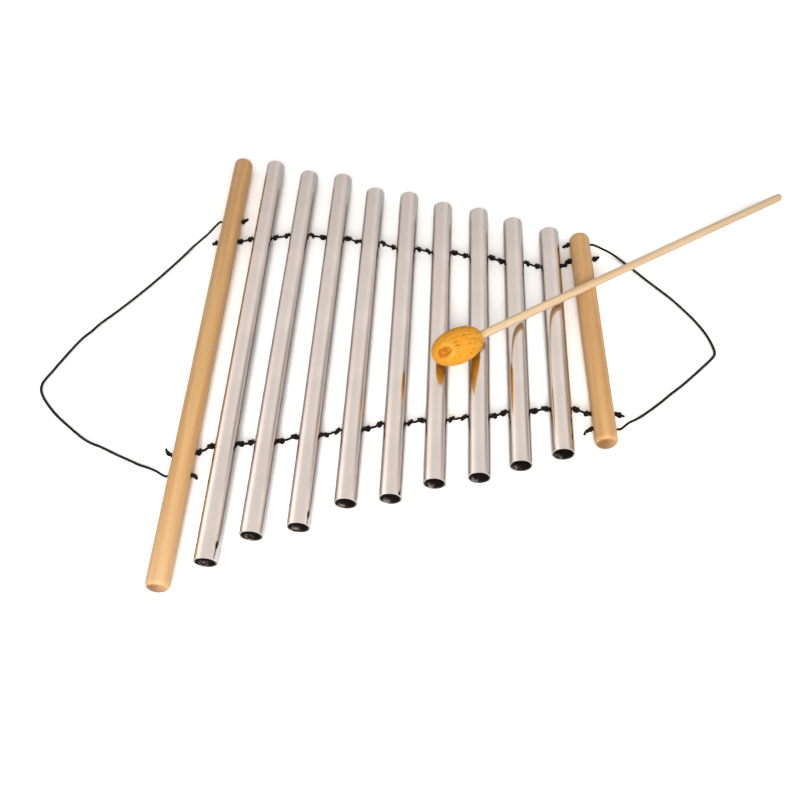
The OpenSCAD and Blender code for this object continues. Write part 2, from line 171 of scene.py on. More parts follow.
# The layer under the outer one: its loops, its depth in thicknesses of the yarn and its start
UNDER_LOOPS = 76
UNDER_DEPTH = 0.16
UNDER_START = 0.37
# Exponent of the head's outline, where 2 is a true oval, and the heights, as shares, between
# which it turns to the blunter upper side
HEAD_POWER = 2.05
BLUNT_FROM = -0.35
BLUNT_TO = 0.25

# How dark the deep and the raised rings of the end grain are, in red, green and blue, as
# shares of the wood's dark streaks
END_GRAIN_SHARES = ((0.34, 0.29, 0.26), (0.52, 0.45, 0.40))

# The camera that fits the photograph: lens and sensor in mm, place in m, and its own axes,
# which point right, up and back
CAMERA_LENS = 37.42
CAMERA_SENSOR = 36
CAMERA_AT = (-0.02992, -0.4395, 0.5712)
CAMERA_AXES = (
    (0.99723, 0.05035, -0.05474), (-0.01124, 0.82955, 0.55832), (0.07352, -0.55616, 0.82782),
)

# The floor is a round sheet in rings and spokes, a little below the object
FLOOR_RADIUS = 4.0
FLOOR_RINGS = 6
FLOOR_SPOKES = 48
FLOOR_DROP = 0.3 * MM
# Each lamp: its name, the setting of its power, place, aim, size and colour
LAMPS = (
    ("front", "key", (-0.08, -0.62, 0.50), (-0.06, 0, 0), (0.9, 0.4), (1.0, 0.985, 0.96)),
    ("side", "side", (-1.2, -0.2, 1.4), (-0.05, 0, 0), (0.8, 0.8), (1.0, 0.99, 0.97)),
    ("fill", "fill", (1.1, -0.3, 0.9), (-0.05, 0, 0), (0.8, 0.8), (1.0, 0.99, 0.98)),
)


def unit(v):
    return v / np.linalg.norm(v)


def middle_of(bar):
    low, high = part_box(bar)
    return np.array([(a + b) / 2 for a, b in zip(low, high)])


def along(bar):
    a = math.radians(LIE_ANGLES.get(bar, 0))
    return np.array([math.sin(a), math.cos(a), 0])


def across(bar):
    a = math.radians(LIE_ANGLES.get(bar, 0))
    return np.array([math.cos(a), -math.sin(a), 0])


def outwards(rod):
    """The direction across a rod and away from the tubes."""
    return (-1 if rod == BARS[0] else 1) * across(rod)


def crossing(k, side):
    """Where a stringing cord crosses bar k's axis; side 1 is the far cord, -1 the near one."""
    return middle_of(BARS[k]) + side * STRING_HALVES[k] * MM * along(BARS[k])


def loop_hole(rod, side):
    """Where a loop's hole crosses its rod's axis; side 1 is the far hole, -1 the near one."""
    place = LOOP_PLACES[rod][0 if side > 0 else 1]
    return middle_of(rod) + side * place * MM * along(rod)


def between(t, start, a, end, b):
    """The value at t, where it is a at start and b at end."""
    span = end - start
    return (end - t) / span * a + (t - start) / span * b


def smooth_line(points):
    """A smooth line for a cord through the points, with its own points evenly spaced."""
    p = np.asarray(points, float)
    p = np.vstack([2 * p[0] - p[1], p, 2 * p[-1] - p[-2]])
    out = []
    for k in range(1, len(p) - 2):
        a, b, c, d = p[k - 1 : k + 3]
        # A centripetal spline, whose knots are the roots of the spans
        t1, t2, t3 = np.cumsum(
            [math.sqrt(max(np.linalg.norm(s), 1e-9)) for s in (b - a, c - b, d - c)]
        )
        for t in np.linspace(t1, t2, SPAN_POINTS, endpoint=k == len(p) - 3):
            u = between(t, 0, a, t1, b)
            v = between(t, t1, b, t2, c)
            w = between(t, t2, c, t3, d)
            out.append(between(t, t1, between(t, 0, u, t2, v), t2, between(t, t1, v, t3, w)))
    return evenly(np.array(out), CORD_STEP)


def evenly(line, step):
    """The line with its points evenly spaced about step apart."""
    run = np.concatenate([[0], np.cumsum(np.linalg.norm(np.diff(line, axis=0), axis=1))])
    at = np.linspace(0, run[-1], max(2, round(run[-1] / step) + 1))
    return np.column_stack([np.interp(at, run, line[:, k]) for k in range(3)])


# Node trees


class Wiring:
    """Adds nodes to a tree, and links them by name."""

    def __init__(self, tree):
        self.tree = tree

    def add(self, kind, inputs=None, **settings):
        node = self.tree.nodes.new(kind)
        for key, value in settings.items():
            setattr(node, key, value)
        self.feed(node, inputs or {})
        return node

    def feed(self, node, inputs):
        """Sets a node's inputs, each to a socket, to a node's first output or to a constant."""
        for key, value in inputs.items():
            if isinstance(value, bpy.types.Node):
                value = value.outputs[0]
            if isinstance(value, bpy.types.NodeSocket):
                self.tree.links.new(value, node.inputs[key])
            else:
                node.inputs[key].default_value = value

    def math(self, operation, *values):
        return self.add(
            "ShaderNodeMath", dict(enumerate(values)), operation=operation
        ).outputs[0]

    def times(self, first, *others):
        for other in others:
            first = self.math("MULTIPLY", first, other)
        return first

    def vector(self, operation, inputs):
        return self.add("ShaderNodeVectorMath", inputs, operation=operation)

    def xyz(self, x, y, z):
        return self.add("ShaderNodeCombineXYZ", {"X": x, "Y": y, "Z": z})

    def parts(self, vector):
        node = self.add("ShaderNodeSeparateXYZ", {"Vector": vector})
        return [node.outputs[axis] for axis in "XYZ"]

    def noise(self, vector, scale, detail, roughness=0.5, distortion=0.0, seed=None):
        inputs = {
            "Vector": vector, "Scale": scale, "Detail": detail, "Roughness": roughness,
            "Distortion": distortion,
        }
        if seed is None:
            return self.add("ShaderNodeTexNoise", inputs).outputs["Fac"]
        inputs["W"] = seed
        return self.add("ShaderNodeTexNoise", inputs, noise_dimensions="4D").outputs["Fac"]

    def stretch(self, value, low, high, new_low=0.0, new_high=1.0):
        """Takes low to new_low and high to new_high, smoothly, and stays there beyond them."""
        inputs = {
            "Value": value, "From Min": low, "From Max": high, "To Min": new_low,
            "To Max": new_high,
        }
        node = self.add("ShaderNodeMapRange", inputs, interpolation_type="SMOOTHSTEP")
        return node.outputs["Result"]

    def mix(self, factor, first, second):
        """Mixes two colours, each a socket or a tuple."""
        inputs = {0: factor}
        for key, colour in ((6, first), (7, second)):
            is_socket = isinstance(colour, bpy.types.NodeSocket)
            inputs[key] = colour if is_socket else (*colour[:3], 1)
        return self.add("ShaderNodeMix", inputs, data_type="RGBA").outputs[2]

    def bump(self, height, distance, strength):
        inputs = {"Height": height, "Distance": distance, "Strength": strength}
        return self.add("ShaderNodeBump", inputs).outputs["Normal"]

    def group(self, name, maker, vector, **inputs):
        """A node of the shader group with this name, which is made the first time."""
        tree = bpy.data.node_groups.get(name) or maker(name)
        inputs = {key.replace("_", " "): value for key, value in inputs.items()}
        return self.add("ShaderNodeGroup", {"Vector": vector, **inputs}, node_tree=tree)


def new_tree(name, tree_kind, inputs, outputs):
    """The wiring of a new tree, and what it is given. Each input and output is a name, a kind
    and perhaps a default."""
    tree = bpy.data.node_groups.new(name, tree_kind)
    for direction, sockets in (("INPUT", inputs), ("OUTPUT", outputs)):
        for label, kind, *default in sockets:
            socket = tree.interface.new_socket(
                name=label, in_out=direction, socket_type="NodeSocket" + kind
            )
            if default:
                socket.default_value = default[0]
    w = Wiring(tree)
    return w, w.add("NodeGroupInput").outputs


# Geometry Nodes


def geometry_tree(name, sockets):
    """A new geometry tree with a Geometry input and output and these named inputs."""
    shape = ("Geometry", "Geometry")
    return new_tree(name, "GeometryNodeTree", [shape, *sockets], [shape])


def end_tree(w, given, shape):
    """Ends a geometry tree with real geometry in the material that it is given."""
    real = w.add("GeometryNodeRealizeInstances", {"Geometry": shape})
    made = w.add("GeometryNodeSetMaterial", {"Geometry": real, "Material": given["Material"]})
    w.add("NodeGroupOutput", {"Geometry": made})
    return w.tree


def strand_tree(name):
    """Lays a plied strand along each line of a mesh. The plies are lobes of its section, and
    the section turns along it."""
    w, given = geometry_tree(name, [
        ("Radius", "Float", 0.0008), ("Plies", "Float", 3.0), ("Ply Depth", "Float", 0.1),
        ("Turns per Metre", "Float", 300.0), ("Sides", "Int", 12), ("Material", "Material"),
    ])
    line = w.add("GeometryNodeMeshToCurve", {"Mesh": given["Geometry"]})
    run = w.add("GeometryNodeSplineParameter").outputs["Length"]
    turn = w.times(run, given["Turns per Metre"], 2 * math.pi)
    tilted = w.add("GeometryNodeSetCurveTilt", {"Curve": line, "Tilt": turn})
    ring = w.add("GeometryNodeCurvePrimitiveCircle", {
        "Resolution": given["Sides"], "Radius": given["Radius"],
    }, mode="RADIUS")
    around_ring = w.add("GeometryNodeSplineParameter").outputs["Factor"]
    angle = w.times(around_ring, 2 * math.pi, given["Plies"])
    reach = w.math("ADD", w.times(w.math("COSINE", angle), given["Ply Depth"]), 1.0)
    lobed = w.vector("SCALE", {0: w.add("GeometryNodeInputPosition"), "Scale": reach})
    section = w.add("GeometryNodeSetPosition", {"Geometry": ring, "Position": lobed})
    strand = w.add("GeometryNodeCurveToMesh", {
        "Curve": tilted, "Profile Curve": section, "Fill Caps": True,
    })
    return end_tree(w, given, w.add("GeometryNodeSetShadeSmooth", {"Geometry": strand}))


def fuzz_tree(name):
    """Scatters short bent fibres over a mesh, and gives only the fibres."""
    w, given = geometry_tree(name, [
        ("Fibres per Square Metre", "Float", 60000.0), ("Fibre Length", "Float", 0.0011),
        ("Fibre Radius", "Float", 0.00003), ("Lean", "Float", 0.9), ("Seed", "Int", 5),
        ("Material", "Material"),
    ])
    points = w.add("GeometryNodeDistributePointsOnFaces", {
        "Mesh": given["Geometry"], "Density": given["Fibres per Square Metre"],
        "Seed": given["Seed"],
    }, distribute_method="RANDOM").outputs
    # A fibre stands up from the surface and bows over to its side
    arc = w.add("GeometryNodeCurveQuadraticBezier", {
        "Resolution": 4, "Start": (0, 0, 0), "Middle": (0, 0, 0.6), "End": (0.5, 0, 0.8),
    })
    length = given["Fibre Length"]
    sized = w.add("GeometryNodeTransform", {
        "Geometry": arc, "Scale": w.xyz(length, length, length),
    })
    ring = w.add("GeometryNodeCurvePrimitiveCircle", {
        "Resolution": 3, "Radius": given["Fibre Radius"],
    }, mode="RADIUS")
    fibre = w.add("GeometryNodeCurveToMesh", {
        "Curve": sized, "Profile Curve": ring, "Fill Caps": True,
    })
    lean = given["Lean"]
    back = w.math("MULTIPLY", lean, -1.0)
    turn = w.add("FunctionNodeRandomValue", {
        "Min": w.xyz(back, back, -math.pi), "Max": w.xyz(lean, lean, math.pi),
        "Seed": given["Seed"],
    }, data_type="FLOAT_VECTOR")
    placed_fibres = w.add("GeometryNodeInstanceOnPoints", {
        "Points": points["Points"], "Instance": fibre, "Rotation": points["Rotation"],
    })
    leaned = w.add("GeometryNodeRotateInstances", {
        "Instances": placed_fibres, "Rotation": turn,
    })
    return end_tree(w, given, leaned)


def grown(name, source, tree, values):
    """The plain mesh object that the tree makes of the source object, with these inputs."""
    modifier = source.modifiers.new(tree.name, "NODES")
    modifier.node_group = tree
    for item in tree.interface.items_tree:
        if item.item_type == "SOCKET" and item.in_out == "INPUT" and item.name in values:
            modifier[item.identifier] = values[item.name]
    graph = bpy.context.evaluated_depsgraph_get()
    graph.update()
    mesh = bpy.data.meshes.new_from_object(source.evaluated_get(graph), depsgraph=graph)
    mesh.name = name
    source.modifiers.remove(modifier)
    made = bpy.data.objects.new(name, mesh)
    bpy.context.scene.collection.objects.link(made)
    if not mesh.polygons:
        raise RuntimeError(f"{name} came out empty")
    return made


def strands(name, lines, material, thickness, twist):
    """One mesh object with a plied strand along each of the lines, in a named slot."""
    edges, start = [], 0
    for line in lines:
        edges += [(k, k + 1) for k in range(start, start + len(line) - 1)]
        start += len(line)
    wire = bpy.data.meshes.new(name + "_lines")
    wire.from_pydata(np.vstack(lines).tolist(), edges, [])
    source = bpy.data.objects.new(name + "_lines", wire)
    bpy.context.scene.collection.objects.link(source)
    tree = bpy.data.node_groups.get("twisted_strand") or strand_tree("twisted_strand")
    ply_depth, turns, sides = twist
    made = grown(name, source, tree, {
        "Radius": thickness / 2, "Plies": PLIES, "Ply Depth": ply_depth,
        "Turns per Metre": turns, "Sides": sides, "Material": material,
    })
    bpy.data.objects.remove(source)
    bpy.data.meshes.remove(wire)
    return made


# Shader node groups


def shader_group(name, inputs, outputs):
    """A new shader group with a Vector input and these inputs and outputs, all numbers."""
    given = [("Vector", "Vector"), *((label, "Float", default) for label, default in inputs)]
    return new_tree(name, "ShaderNodeTree", given, [(label, "Float") for label in outputs])


def wood_grain_group(name):
    """Fine straight grain along Y: a mask of light and dark streaks, one of short flecks, and
    a height."""
    w, given = shader_group(
        name, [("Streaks per Metre", 260.0), ("Seed", 0.0)], ["Streaks", "Flecks", "Height"]
    )
    x, y, z = w.parts(given["Vector"])
    density = given["Streaks per Metre"]
    streak = w.noise(
        w.xyz(x, w.times(y, 0.035), z), density, 5.0, 0.62, 0.35, seed=given["Seed"]
    )
    fleck = w.add("ShaderNodeTexVoronoi", {
        "Vector": w.xyz(x, w.times(y, 0.16), z), "Scale": w.times(density, 5.5),
    })
    spot = w.stretch(fleck.outputs["Distance"], 0.05, 0.32, 1.0, 0.0)
    height = w.math("MULTIPLY_ADD", spot, -0.4, streak)
    w.add("NodeGroupOutput", {"Streaks": streak, "Flecks": spot, "Height": height})
    return w.tree


def fibres_group(name):
    """Fine uneven fibres: a mask of lighter and darker ones, and a height."""
    w, given = shader_group(name, [("Fibres per Metre", 2500.0)], ["Mask", "Height"])
    density = given["Fibres per Metre"]
    coarse = w.noise(given["Vector"], w.times(density, 0.16), 3.0)
    fine = w.noise(given["Vector"], density, 4.0, 0.7)
    mask = w.math("ADD", w.times(coarse, 0.55), w.times(fine, 0.45))
    w.add("NodeGroupOutput", {"Mask": mask, "Height": fine})
    return w.tree


def wear_group(name):
    """Handling marks: a slow cloud, and a few fine scratches that run along Y."""
    w, given = shader_group(name, [("Scale", 30.0)], ["Cloud", "Lines"])
    cloud = w.noise(given["Vector"], given["Scale"], 4.0)
    x, y, z = w.parts(given["Vector"])
    lines = w.noise(w.xyz(x, w.times(y, 0.01), z), w.times(given["Scale"], 60.0), 2.0)
    w.add("NodeGroupOutput", {"Cloud": cloud, "Lines": lines})
    return w.tree


# What a user would change


def colour_setting(name, description, default):
    return bpy.props.FloatVectorProperty(
        name=name, description=description, default=default, size=3, min=0, max=1,
        subtype="COLOR",
    )


def number_setting(name, description, default, low, high, **kind):
    return bpy.props.FloatProperty(
        name=name, description=description, default=default, min=low, max=high, **kind
    )


LENGTH = {"unit": "LENGTH", "precision": 4}
FACTOR = {"subtype": "FACTOR"}
POWER = {"unit": "POWER"}


class CordSettings(bpy.types.PropertyGroup):
    """The stringing cords and the hanging loops"""

    thickness: number_setting(
        "Thickness", "Thickness of the cord", 1.6 * MM, 1 * MM, 3 * MM, **LENGTH
    )
    knot_size: number_setting(
        "Knot size", "Size of the knots, as a share of a snug overhand knot", 1.2, 0.8, 1.4,
        **FACTOR,
    )
    waviness: number_setting(
        "Waviness", "How far a strand strays from the straight line between two bars",
        0.45 * MM, 0, 2 * MM, **LENGTH,
    )
    colour: colour_setting("Colour", "Colour of the cord", (0.006, 0.005, 0.005))
    worn_colour: colour_setting(
        "Worn colour", "Colour of the raised fibres", (0.024, 0.021, 0.020)
    )


class TubeSettings(bpy.types.PropertyGroup):
    """The metal tubes"""

    colour: colour_setting("Colour", "Tint of the polished metal", (0.81, 0.752, 0.712))
    bore_colour: colour_setting(
        "Bore colour", "Colour of the unpolished bore", (0.085, 0.064, 0.056)
    )
    roughness: number_setting(
        "Roughness", "Roughness of the polished outside", 0.13, 0.05, 0.6, **FACTOR
    )


class WoodSettings(bpy.types.PropertyGroup):
    """The wooden rods and the mallet's stick"""

    rod_light: colour_setting("Rod, light", "Light streaks of the rods", (0.79, 0.48, 0.215))
    rod_dark: colour_setting("Rod, dark", "Dark streaks of the rods", (0.66, 0.355, 0.135))
    stick_light: colour_setting(
        "Stick, light", "Light streaks of the stick", (0.87, 0.66, 0.42)
    )
    stick_dark: colour_setting("Stick, dark", "Dark streaks of the stick", (0.76, 0.53, 0.31))


class YarnSettings(bpy.types.PropertyGroup):
    """The mallet's head"""

    thickness: number_setting(
        "Yarn", "Thickness of the yarn", 1.5 * MM, 0.8 * MM, 2 * MM, **LENGTH
    )
    head_length: number_setting(
        "Head length", "Length of the wound head", 46.3 * MM, 40 * MM, 60 * MM, **LENGTH
    )
    head_thickness: number_setting(
        "Head thickness", "Thickness of the wound head", 29.8 * MM, 25 * MM, 35 * MM, **LENGTH
    )
    bluntness: number_setting(
        "Bluntness", "How much blunter than an oval the head's upper side is", 0.1, 0, 2,
        **FACTOR,
    )
    loops: bpy.props.IntProperty(
        name="Loops", description="How often the yarn goes round the head lengthwise",
        default=58, min=20, max=60,
    )
    light: colour_setting("Light fibres", "Colour of the light fibres", (1.0, 0.52, 0.060))
    dark: colour_setting("Dark fibres", "Colour of the dark fibres", (0.93, 0.37, 0.022))


class StageSettings(bpy.types.PropertyGroup):
    """The floor and the light"""

    floor: colour_setting("Floor", "Colour of the floor", (0.80, 0.80, 0.80))
    floor_gain: number_setting(
        "Floor whiteness", "How much whiter the camera sees the floor than it is lit",
        2.3, 1, 4, **FACTOR,
    )
    sky: number_setting("Even light", "Strength of the light from all round", 0.33, 0, 2)
    key: number_setting("Front lamp", "Lamp over the camera", 5.5, 0, 60, **POWER)
    side: number_setting("Side lamp", "Lamp far off at the left", 1.5, 0, 60, **POWER)
    fill: number_setting("Fill lamp", "Lamp far off at the right", 4.0, 0, 60, **POWER)


SETTINGS = {
    "chime_cord": CordSettings,
    "chime_tubes": TubeSettings,
    "chime_wood": WoodSettings,
    "chime_yarn": YarnSettings,
    "chime_stage": StageSettings,
}


# Finishes


def new_material(name):
    """A material, its wiring, its Principled surface and the piece's Object coordinates."""
    material = bpy.data.materials.new(name)
    material.use_nodes = True
    w = Wiring(material.node_tree)
    surface = material.node_tree.nodes["Principled BSDF"]
    return material, w, surface, w.add("ShaderNodeTexCoord").outputs["Object"]


def on_axes(w, where, centre, turn):
    """The coordinates from a centre, on axes turned by these angles: whole, and in parts."""
    moved = w.vector("SUBTRACT", {0: where, 1: tuple(centre)})
    turned = w.add(
        "ShaderNodeMapping", {"Vector": moved, "Rotation": tuple(turn)}, vector_type="POINT"
    )
    return turned.outputs["Vector"], *w.parts(turned)


def radius_of(w, x, z):
    return w.math("SQRT", w.math("MULTIPLY_ADD", z, z, w.times(x, x)))


def dimmed(colour, share):
    return tuple(share * c for c in colour)


def fibre_finish(name, density, shades, colours, rough_by, rough, relief, more):
    """A fibrous material. Over the range shades, its mask goes from the first colour to the
    second; relief is the depth and strength of the fibres."""
    material, w, surface, where = new_material(name)
    fibres = w.group("fibres", fibres_group, where, Fibres_per_Metre=density).outputs
    w.feed(surface, {
        "Base Color": w.mix(w.stretch(fibres["Mask"], *shades), *colours),
        "Roughness": w.stretch(fibres[rough_by], 0.3, 0.7, *rough),
        "Normal": w.bump(fibres["Height"], *relief),
        **more,
    })
    return material


def cord_finish(cord):
    """The waxed cord, made the first time that it is asked for."""
    return bpy.data.materials.get("waxed_cord") or fibre_finish(
        "waxed_cord", 3800.0, (0.42, 0.68), (cord.colour, cord.worn_colour),
        "Mask", (0.5, 0.72), (0.00012, 0.8), {"Specular IOR Level": 0.2},
    )


def yarn_finish(name, light, dark):
    return fibre_finish(
        name, 4200.0, (0.38, 0.62), (dark, light), "Height", (0.8, 0.95), (0.00022, 0.9),
        {
            "Sheen Weight": 0.35, "Sheen Roughness": 0.5, "Sheen Tint": (1.0, 0.72, 0.32, 1),
            "Specular IOR Level": 0.2,
        },
    )


def core_finish():
    """The core under the yarn."""
    return fibre_finish(
        "core_rubber", 1500.0, (0.35, 0.65), ((0.42, 0.13, 0.012), (0.62, 0.22, 0.02)),
        "Mask", (0.85, 0.95), (0.0002, 0.6), {},
    )


def tube_finish(bar, settings):
    """Polished metal outside, with faint lines from drawing, and a dull dark bore; painted
    shade deep in the bore and low on the cut end, and painted light at the lower left of the
    bore's mouth.
    """
    material, w, surface, where = new_material("polished_" + bar)
    turn = (0, 0, math.radians(LIE_ANGLES.get(bar, 0)))
    local, x, y, z = on_axes(w, where, middle_of(bar), turn)
    outside = w.stretch(radius_of(w, x, z), 7.7 * MM, 8.3 * MM)
    marks = w.group("handling_marks", wear_group, local, Scale=26.0).outputs
    low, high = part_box(bar)
    half = (high[1] - low[1]) / 2
    past = w.math("ABSOLUTE", y)

    def near_end(start, full):
        """Rises from a distance before the tube's end to a smaller one."""
        return w.stretch(past, half - start, half - full)

    cloud = w.stretch(marks["Cloud"], 0.3, 0.7)
    metal = w.mix(cloud, settings.colour, dimmed(settings.colour, 0.93))
    # Painted shade: the cut end is greyer in its lower part
    cut = w.times(near_end(0.5 * MM, 0.2 * MM), w.stretch(z, 4 * MM, -5 * MM))
    metal = w.mix(cut, metal, dimmed(settings.colour, 0.30))
    # Painted shade darkens the bore further in, and a rough patch of painted light brightens
    # the lower left of its mouth
    inner = dimmed(settings.bore_colour, 0.3)
    bore = w.mix(near_end(15 * MM, 4 * MM), inner, settings.bore_colour)
    # The patchiness of the painted light at the mouth
    lit_patchiness = w.stretch(w.noise(local, 420.0, 2.0), 0.38, 0.56)
    lit = w.times(
        near_end(5.5 * MM, 1.5 * MM), w.stretch(x, 1.5 * MM, -3 * MM),
        w.stretch(z, -2.5 * MM, -6.5 * MM), lit_patchiness,
    )
    bore = w.mix(lit, bore, dimmed(settings.colour, 0.5))
    shine = settings.roughness
    shine = w.stretch(marks["Cloud"], 0.3, 0.7, shine - 0.05, shine + 0.02)
    shine = w.math("MULTIPLY_ADD", marks["Lines"], 0.06, shine)
    rough = w.add("ShaderNodeMix", {0: outside, 2: 0.34, 3: shine}, data_type="FLOAT")
    bore_metallic = w.stretch(lit, 0.0, 1.0, 0.8, 0.1)
    w.feed(surface, {
        "Base Color": w.mix(outside, bore, metal),
        "Roughness": rough,
        "Metallic": w.stretch(outside, 0.0, 1.0, bore_metallic, 1.0),
        "Normal": w.bump(marks["Lines"], 0.00001, 0.35),
    })
    return material


def wood_finish(name, colours, centre, turn, half, end_depth, streaks, seed, painted_near_light=0.0):
    """Straight-grained wood in a light and a dark colour along a piece's own Y, with dark end
    grain over a depth, and perhaps painted light that makes the near end paler."""
    light, dark = colours
    material, w, surface, where = new_material(name)
    local, x, y, z = on_axes(w, where, centre, turn)
    grain = w.group(
        "wood_grain", wood_grain_group, local, Streaks_per_Metre=streaks, Seed=seed
    ).outputs
    body = w.mix(w.stretch(grain["Streaks"], 0.32, 0.68), dark, light)
    body = w.mix(w.times(grain["Flecks"], 0.16), body, dimmed(dark, 0.62))
    if painted_near_light:
        # Painted light, paler towards the near end
        near = w.stretch(y, -0.45 * half, -0.95 * half, 0.0, painted_near_light)
        body = w.mix(near, body, (0.90, 0.64, 0.40))
    # The rings of the end grain, paler towards the right
    ring = w.math("SINE", w.times(radius_of(w, x, z), 5200.0))
    deep, raised = ([a * b for a, b in zip(shares, dark)] for shares in END_GRAIN_SHARES)
    cut = w.mix(w.stretch(ring, -0.6, 1.0), deep, raised)
    cut = w.mix(w.stretch(x, -3 * MM, 10 * MM, 0.0, 0.7), cut, light)
    past = w.math("ABSOLUTE", y)
    end = w.stretch(past, half - end_depth, half - 0.35 * end_depth)
    w.feed(surface, {
        "Base Color": w.mix(end, body, cut),
        "Roughness": w.stretch(grain["Streaks"], 0.3, 0.7, 0.56, 0.44),
        "Normal": w.bump(grain["Height"], 0.00006, 0.5),
        "Specular IOR Level": 0.4,
        "Sheen Weight": 0.22,
        "Sheen Roughness": 0.35,
        "Sheen Tint": (1.0, 0.86, 0.74, 1),
    })
    return material


def paint(node, material):
    """Gives a CAD node its finish."""
    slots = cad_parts[node].material_slots
    if not slots:
        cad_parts[node].data.materials.append(material)
    for slot in slots:
        slot.link = "OBJECT"
        slot.material = material


# Cords


def knot_at(centre, heading, size, roll, flip):
    """The points of a knot around its centre. It starts before the centre and ends after it."""
    line = np.array(KNOT_LINE, float) * (1, 1, flip)
    side = np.cross(heading, (0, 0, 1))
    side = unit(side) if np.linalg.norm(side) > 0.1 else np.array([1.0, 0, 0])
    rise = np.cross(side, heading)
    y_way = math.cos(roll) * side + math.sin(roll) * rise
    z_way = np.cross(heading, y_way)
    return centre + size * (line[:, :1] * heading + line[:, 1:2] * y_way + line[:, 2:] * z_way)


def knot_size(cord):
    return cord.thickness * cord.knot_size


def knot_rest(cord):
    """Distance of a knot's middle from the wall that it is pulled against."""
    return KNOT_REACH * knot_size(cord) + 0.5 * CORD_FULLNESS * cord.thickness


def gap_ends(k, side):
    """Where a stringing cord leaves bar k's wall and where it meets the next one's."""
    left = crossing(k, side) + BAR_RADIUS * across(BARS[k])
    return left, crossing(k + 1, side) - BAR_RADIUS * across(BARS[k + 1])


def string_line(k, side, cord, chance):
    """A stringing cord from the axis of bar k to the next one's, knotted at both walls."""
    a, b = gap_ends(k, side)
    heading = unit(b - a)
    size = knot_size(cord)
    # A knot on a string that meets its wall at a slant stands a little further off
    rest = (knot_rest(cord) + 0.5 * abs(heading[1]) * size) * heading
    one, two = (
        knot_at(centre, heading, size, chance.uniform(*GAP_ROLL), chance.choice([-1, 1]))
        for centre in (a + rest, b - rest)
    )
    span = two[0] - one[-1]
    side_way = unit(np.cross(heading, (0, 0, 1)))
    free = []
    for share in STRAY_SHARES:
        drop = -0.5 * cord.waviness * math.sin(math.pi * share)
        stray = chance.uniform(-1, 1) * cord.waviness * side_way
        free.append(one[-1] + share * span + stray + (0, 0, drop))
    inside = 0.5 * cord.thickness
    return smooth_line([
        crossing(k, side), a - inside * across(BARS[k]), *one, *free, *two,
        b + inside * across(BARS[k + 1]), crossing(k + 1, side),
    ])


def tail_line(start, out, tail, cord, chance):
    """A knot pulled against a wall at start, and the tail that leaves it, given as its
    direction and its length in mm."""
    centre = start + knot_rest(cord) * out
    roll, flip = chance.uniform(*TAIL_ROLL), chance.choice([-1, 1])
    knot = knot_at(centre, out, knot_size(cord), roll, flip)[:-2]
    way, length = unit(np.array(tail[0], float)), tail[1] * MM
    bend = knot[-1] + 0.4 * length * unit(0.6 * out + way)
    return [*knot, bend, knot[-1] + length * unit(0.15 * out + way)]


def string_end_line(k, side, cord, chance):
    """The end of a stringing cord, from its rod's axis to the tail outside."""
    rod = BARS[k]
    at, out = crossing(k, side), outwards(rod)
    tail = tail_line(
        at + BAR_RADIUS * out, out, END_TAILS[rod][0 if side > 0 else 1], cord, chance
    )
    return smooth_line([at, at + HOLE_LEAD * BAR_RADIUS * out, *tail])


def loop_end_line(rod, side, cord, chance):
    """The end of a hanging loop: a tail, a knot, and through the rod to the hinge."""
    hole, out = loop_hole(rod, side), outwards(rod)
    tail = tail_line(
        hole - BAR_RADIUS * out, -out, LOOP_TAILS[rod][0 if side > 0 else 1], cord, chance
    )
    mouth = hole + (BAR_RADIUS + LOOP_STANDOFF + LOOP_LAP) * out
    return smooth_line([*reversed(tail), hole - HOLE_LEAD * BAR_RADIUS * out, hole, mouth])


def loop_line(rod, route, cord):
    """The free part of a hanging loop, from its hinge at the far hole to the near one's."""
    out = outwards(rod)
    x, y, _ = middle_of(rod)
    lift = 0.5 * cord.thickness * CORD_FULLNESS
    lying = [np.array([x, y, lift]) + np.array(p) * MM for p in route]
    hinge = BAR_RADIUS + LOOP_STANDOFF
    (far, far_lead), (near, near_lead) = (
        [loop_hole(rod, side) + (hinge + lap) * out for lap in (-LOOP_LAP, LOOP_LAP)]
        for side in (1, -1)
    )
    return smooth_line([far, far_lead, *lying, near_lead, near])


def cord_piece(name, lines, cord):
    thickness = cord.thickness * CORD_FULLNESS
    return strands(name, lines, cord_finish(cord), thickness, CORD_TWIST)


# The mallet


def mallet_place():
    """Takes points on the mallet's own axes, head at the origin and stick along X, to where it
    lies."""
    yaw = Matrix.Rotation(math.radians(MALLET_YAW), 4, "Z")
    tilt = Matrix.Rotation(math.radians(MALLET_TILT), 4, "Y")
    return Matrix.Translation(HEAD_AT) @ yaw @ tilt


def placed(points):
    m = np.array(mallet_place())
    return np.asarray(points) @ m[:3, :3].T + m[:3, 3]


def head_point(yarn, way, depth):
    """Points at a depth in the head in the directions way. Its upper side is blunter than an
    oval."""
    way = np.atleast_2d(way)
    half_l = (yarn.head_length - yarn.thickness) / 2 - depth
    half_d = (yarn.head_thickness - yarn.thickness) / 2 - depth
    x, y, z = way.T
    t = np.clip((z - BLUNT_FROM) / (BLUNT_TO - BLUNT_FROM), 0, 1)
    power = HEAD_POWER + yarn.bluntness * t * t * (3 - 2 * t)
    ring = np.sqrt(y * y + z * z)
    fuller = (np.abs(x) ** power + ring**power) ** (-1 / power)
    return np.column_stack([half_l * x, half_d * y, half_d * z]) * fuller[:, None]


